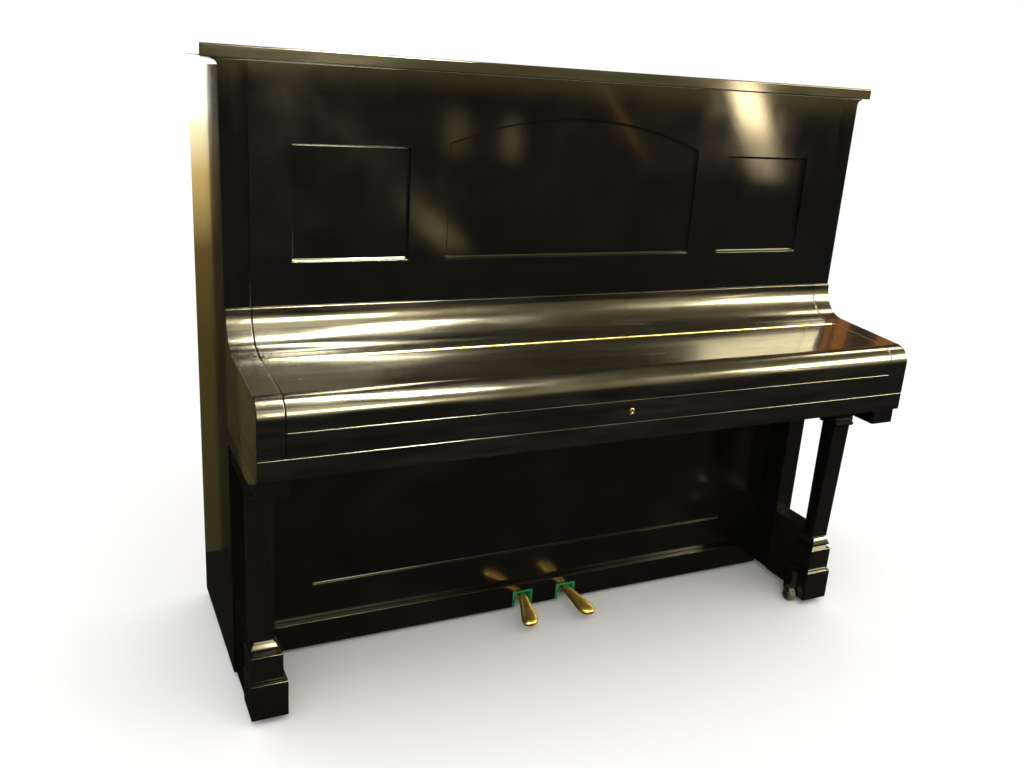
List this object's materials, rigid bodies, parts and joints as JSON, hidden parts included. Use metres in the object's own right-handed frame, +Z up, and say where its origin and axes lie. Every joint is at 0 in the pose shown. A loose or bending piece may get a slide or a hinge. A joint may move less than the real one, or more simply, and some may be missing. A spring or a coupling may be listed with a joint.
{
  "type": "upright piano",
  "caption": "Upright piano with an arched sunk front panel, a cove-and-nose fall, square tapered legs on stepped toes, and brass pedals.",
  "frame": {"origin": "on the floor, under the middle of the whole object's box", "axes": "+X to the player's right (treble), +Y from the keyboard to the back, +Z up"},
  "size_m": [1.588, 0.685, 1.32],
  "materials": {
    "black_lacquer": "gloss, ebonised and french polished",
    "brass": "polished, slightly tarnished",
    "green_felt": "matte felt",
    "ivory": "satin",
    "ebony": "satin",
    "spruce": "satin varnish",
    "beech": "bare",
    "gilt_iron": "gold bronze paint",
    "steel": "satin",
    "caster_iron": "worn, dull"
  },
  "bodies": {
    "case": {"side_left": "black_lacquer", "side_right": "black_lacquer", "arm_left": "black_lacquer", "arm_right": "black_lacquer", "key_block_left": "black_lacquer", "key_block_right": "black_lacquer", "leg_left": "black_lacquer", "leg_right": "black_lacquer", "foot_left": "black_lacquer", "foot_right": "black_lacquer", "caster_bracket_front_left": "caster_iron", "caster_bracket_front_right": "caster_iron", "caster_bracket_rear_left": "caster_iron", "caster_bracket_rear_right": "caster_iron", "pedal_felt_left": "green_felt", "pedal_felt_right": "green_felt", "keybed": "black_lacquer", "key_slip": "black_lacquer", "fall_lock": "brass", "fall_back": "black_lacquer", "fall_hinge": "brass", "lid_hinge": "brass", "upper_panel": "black_lacquer", "plinth": "black_lacquer", "bottom_board": "beech", "action_frame": "gilt_iron", "key_frame": "beech", "naturals_bass": "ivory", "naturals_treble": "ivory", "sharps_bass": "ebony", "sharps_treble": "ebony", "back_frame": "spruce", "soundboard": "spruce", "iron_frame": "gilt_iron"},
    "lid": {"lid": "black_lacquer"},
    "fall_flap": {"fall_flap": "black_lacquer"},
    "lower_panel": {"lower_panel": "black_lacquer"},
    "lock_bolt": {"lock_bolt": "steel"},
    "pedal_left": {"pedal_left": "brass"},
    "pedal_right": {"pedal_right": "brass"},
    "pedal_rod_left": {"pedal_rod_left": "beech"},
    "pedal_rod_right": {"pedal_rod_right": "beech"},
    "hammer_rail": {"hammer_rail": "beech"},
    "damper_rail": {"damper_rail": "steel"},
    "caster_wheel_front_left": {"caster_wheel_front_left": "caster_iron"},
    "caster_wheel_front_right": {"caster_wheel_front_right": "caster_iron"},
    "caster_wheel_rear_left": {"caster_wheel_rear_left": "caster_iron"},
    "caster_wheel_rear_right": {"caster_wheel_rear_right": "caster_iron"},
    "key_C": {"key_C": "ivory"},
    "key_C_sharp": {"key_C_sharp": "ebony"},
    "key_D": {"key_D": "ivory"},
    "key_D_sharp": {"key_D_sharp": "ebony"},
    "key_E": {"key_E": "ivory"},
    "key_F": {"key_F": "ivory"},
    "key_F_sharp": {"key_F_sharp": "ebony"},
    "key_G": {"key_G": "ivory"},
    "key_G_sharp": {"key_G_sharp": "ebony"},
    "key_A": {"key_A": "ivory"},
    "key_A_sharp": {"key_A_sharp": "ebony"},
    "key_B": {"key_B": "ivory"}
  },
  "joints": [
    {"name": "lid_hinge", "type": "hinge", "parent": "case", "child": "lid", "pos_m": [0, 0.34, 1.2965], "axis": [-1, 0, 0], "range_deg": [0, 95]},
    {"name": "fall_hinge", "type": "hinge", "parent": "case", "child": "fall_flap", "pos_m": [0, -0.1445, 0.75635], "axis": [-1, 0, 0], "range_deg": [0, 112]},
    {"name": "lower_panel_tilt", "type": "hinge", "parent": "case", "child": "lower_panel", "pos_m": [0, 0.0255, 0.0745], "axis": [1, 0, 0], "range_deg": [0, 7.5]},
    {"name": "lock_bolt_slide", "type": "slide", "parent": "case", "child": "lock_bolt", "axis": [0, 0, 1], "range_m": [0, 0.007]},
    {"name": "pedal_left_press", "type": "hinge", "parent": "case", "child": "pedal_left", "pos_m": [-0.036, 0.0605, 0.041], "axis": [1, 0, 0], "range_deg": [0, 6], "stiffness_Nm_per_rad": 40, "springref_deg": -3.44},
    {"name": "pedal_rod_left_lift", "type": "slide", "parent": "case", "child": "pedal_rod_left", "axis": [0, 0, 1], "range_m": [0, 0.00525]},
    {"name": "pedal_right_press", "type": "hinge", "parent": "case", "child": "pedal_right", "pos_m": [0.087, 0.0605, 0.041], "axis": [1, 0, 0], "range_deg": [0, 6], "stiffness_Nm_per_rad": 40, "springref_deg": -3.44},
    {"name": "pedal_rod_right_lift", "type": "slide", "parent": "case", "child": "pedal_rod_right", "axis": [0, 0, 1], "range_m": [0, 0.00525]},
    {"name": "hammer_rail_swing", "type": "hinge", "parent": "case", "child": "hammer_rail", "pos_m": [0, 0.1505, 0.9], "axis": [-1, 0, 0], "range_deg": [0, 7.55]},
    {"name": "damper_rail_swing", "type": "hinge", "parent": "case", "child": "damper_rail", "pos_m": [0, 0.0805, 0.815], "axis": [1, 0, 0], "range_deg": [0, 10.05]},
    {"name": "caster_front_left_roll", "type": "hinge", "parent": "case", "child": "caster_wheel_front_left", "pos_m": [-0.694, -0.1245, 0.0185], "axis": [1, 0, 0], "continuous": true},
    {"name": "caster_front_right_roll", "type": "hinge", "parent": "case", "child": "caster_wheel_front_right", "pos_m": [0.6715, -0.1845, 0.0185], "axis": [1, 0, 0], "continuous": true},
    {"name": "caster_rear_left_roll", "type": "hinge", "parent": "case", "child": "caster_wheel_rear_left", "pos_m": [-0.69, 0.2955, 0.0185], "axis": [1, 0, 0], "continuous": true},
    {"name": "caster_rear_right_roll", "type": "hinge", "parent": "case", "child": "caster_wheel_rear_right", "pos_m": [0.69, 0.2955, 0.0185], "axis": [1, 0, 0], "continuous": true},
    {"name": "key_C_press", "type": "hinge", "parent": "case", "child": "key_C", "pos_m": [-0.05875, -0.1115, 0.68], "axis": [1, 0, 0], "range_deg": [0, 2.73], "stiffness_Nm_per_rad": 0.6, "springref_deg": -9.74},
    {"name": "key_C_sharp_press", "type": "hinge", "parent": "case", "child": "key_C_sharp", "pos_m": [-0.0505, -0.1115, 0.68], "axis": [1, 0, 0], "range_deg": [0, 2.73], "stiffness_Nm_per_rad": 0.6, "springref_deg": -9.74},
    {"name": "key_D_press", "type": "hinge", "parent": "case", "child": "key_D", "pos_m": [-0.03525, -0.1115, 0.68], "axis": [1, 0, 0], "range_deg": [0, 2.73], "stiffness_Nm_per_rad": 0.6, "springref_deg": -9.74},
    {"name": "key_D_sharp_press", "type": "hinge", "parent": "case", "child": "key_D_sharp", "pos_m": [-0.02, -0.1115, 0.68], "axis": [1, 0, 0], "range_deg": [0, 2.73], "stiffness_Nm_per_rad": 0.6, "springref_deg": -9.74},
    {"name": "key_E_press", "type": "hinge", "parent": "case", "child": "key_E", "pos_m": [-0.01175, -0.1115, 0.68], "axis": [1, 0, 0], "range_deg": [0, 2.73], "stiffness_Nm_per_rad": 0.6, "springref_deg": -9.74},
    {"name": "key_F_press", "type": "hinge", "parent": "case", "child": "key_F", "pos_m": [0.01175, -0.1115, 0.68], "axis": [1, 0, 0], "range_deg": [0, 2.73], "stiffness_Nm_per_rad": 0.6, "springref_deg": -9.74},
    {"name": "key_F_sharp_press", "type": "hinge", "parent": "case", "child": "key_F_sharp", "pos_m": [0.019, -0.1115, 0.68], "axis": [1, 0, 0], "range_deg": [0, 2.73], "stiffness_Nm_per_rad": 0.6, "springref_deg": -9.74},
    {"name": "key_G_press", "type": "hinge", "parent": "case", "child": "key_G", "pos_m": [0.03525, -0.1115, 0.68], "axis": [1, 0, 0], "range_deg": [0, 2.73], "stiffness_Nm_per_rad": 0.6, "springref_deg": -9.74},
    {"name": "key_G_sharp_press", "type": "hinge", "parent": "case", "child": "key_G_sharp", "pos_m": [0.047, -0.1115, 0.68], "axis": [1, 0, 0], "range_deg": [0, 2.73], "stiffness_Nm_per_rad": 0.6, "springref_deg": -9.74},
    {"name": "key_A_press", "type": "hinge", "parent": "case", "child": "key_A", "pos_m": [0.05875, -0.1115, 0.68], "axis": [1, 0, 0], "range_deg": [0, 2.73], "stiffness_Nm_per_rad": 0.6, "springref_deg": -9.74},
    {"name": "key_A_sharp_press", "type": "hinge", "parent": "case", "child": "key_A_sharp", "pos_m": [0.075, -0.1115, 0.68], "axis": [1, 0, 0], "range_deg": [0, 2.73], "stiffness_Nm_per_rad": 0.6, "springref_deg": -9.74},
    {"name": "key_B_press", "type": "hinge", "parent": "case", "child": "key_B", "pos_m": [0.08225, -0.1115, 0.68], "axis": [1, 0, 0], "range_deg": [0, 2.73], "stiffness_Nm_per_rad": 0.6, "springref_deg": -9.74}
  ],
  "couplings": [
    {"joint": "pedal_rod_left_lift", "follows": "pedal_left_press", "m_per_rad": 0.05},
    {"joint": "pedal_rod_right_lift", "follows": "pedal_right_press", "m_per_rad": 0.05},
    {"joint": "hammer_rail_swing", "follows": "pedal_left_press", "ratio": 1.25},
    {"joint": "damper_rail_swing", "follows": "pedal_right_press", "ratio": 1.6667}
  ]
}
